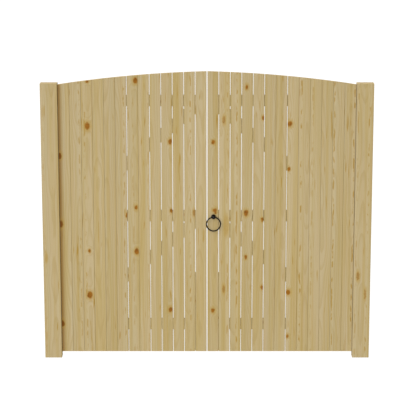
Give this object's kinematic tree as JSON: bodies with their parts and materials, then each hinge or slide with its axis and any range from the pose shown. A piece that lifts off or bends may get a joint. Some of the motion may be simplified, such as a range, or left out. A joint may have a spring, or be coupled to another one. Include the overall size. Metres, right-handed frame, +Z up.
{
  "type": "double garden gate",
  "caption": "Pair of boarded timber gate leaves with an arched top, hung between square posts, with a ring latch and drop bolts.",
  "frame": {"origin": "on the ground, midway between the posts and in the middle of their thickness", "axes": "+X along the gate to the right as seen from the front, +Y towards the back, +Z up"},
  "size_m": [2.1, 0.0935, 1.8653],
  "materials": {
    "board_pine": "planed, treated softwood",
    "frame_pine": "planed, treated softwood",
    "post_pine": "planed, treated softwood",
    "black_iron": "black powder coat",
    "fixings": "black japanned"
  },
  "bodies": {
    "posts": {"left_post": "post_pine", "right_post": "post_pine", "left_hinge_hooks": "black_iron", "right_hinge_hooks": "black_iron", "hook_nails": "fixings"},
    "left_leaf": {"left_board_01": "board_pine", "left_board_02": "board_pine", "left_board_03": "board_pine", "left_board_04": "board_pine", "left_board_05": "board_pine", "left_board_06": "board_pine", "left_board_07": "board_pine", "left_board_08": "board_pine", "left_board_09": "board_pine", "left_board_10": "board_pine", "left_board_11": "board_pine", "left_board_12": "board_pine", "left_board_13": "board_pine", "left_bottom_rail": "frame_pine", "left_middle_rail": "frame_pine", "left_top_rail": "frame_pine", "left_lower_brace": "frame_pine", "left_upper_brace": "frame_pine", "left_bolt_packers": "frame_pine", "left_hinge_bands": "black_iron", "left_band_nails": "fixings", "left_bolt_guides": "black_iron", "latch_keeper": "black_iron"},
    "right_leaf": {"right_board_01": "board_pine", "right_board_02": "board_pine", "right_board_03": "board_pine", "right_board_04": "board_pine", "right_board_05": "board_pine", "right_board_06": "board_pine", "right_board_07": "board_pine", "right_board_08": "board_pine", "right_board_09": "board_pine", "right_board_10": "board_pine", "right_board_11": "board_pine", "right_board_12": "board_pine", "right_board_13": "board_pine", "right_bottom_rail": "frame_pine", "right_middle_rail": "frame_pine", "right_top_rail": "frame_pine", "right_lower_brace": "frame_pine", "right_upper_brace": "frame_pine", "right_bolt_packers": "frame_pine", "right_hinge_bands": "black_iron", "right_band_nails": "fixings", "right_bolt_guides": "black_iron", "ring_rose": "black_iron", "latch_backplate": "black_iron"},
    "left_drop_bolt": {"left_bolt_rod": "black_iron"},
    "right_drop_bolt": {"right_bolt_rod": "black_iron"},
    "latch_spindle": {"ring_spindle": "black_iron", "latch_arm": "black_iron", "spindle_nut": "fixings"},
    "ring": {"ring_handle": "black_iron"}
  },
  "joints": [
    {"name": "left_leaf_swing", "type": "hinge", "parent": "posts", "child": "left_leaf", "pos_m": [-0.9412, 0.04446, 0.9], "axis": [0, 0, 1], "range_deg": [0, 105]},
    {"name": "right_leaf_swing", "type": "hinge", "parent": "posts", "child": "right_leaf", "pos_m": [0.9412, 0.04446, 0.9], "axis": [0, 0, -1], "range_deg": [0, 105]},
    {"name": "left_bolt_slide", "type": "slide", "parent": "left_leaf", "child": "left_drop_bolt", "axis": [0, 0, 1], "range_m": [-0.1, 0]},
    {"name": "right_bolt_slide", "type": "slide", "parent": "right_leaf", "child": "right_drop_bolt", "axis": [0, 0, 1], "range_m": [-0.1, 0]},
    {"name": "spindle_turn", "type": "hinge", "parent": "right_leaf", "child": "latch_spindle", "pos_m": [0.0415, 0, 0.933], "axis": [0, -1, 0], "range_deg": [0, 90]},
    {"name": "ring_swing", "type": "hinge", "parent": "latch_spindle", "child": "ring", "pos_m": [0.0415, -0.0245, 0.9305], "axis": [-1, 0, 0], "range_deg": [0, 170]}
  ]
}
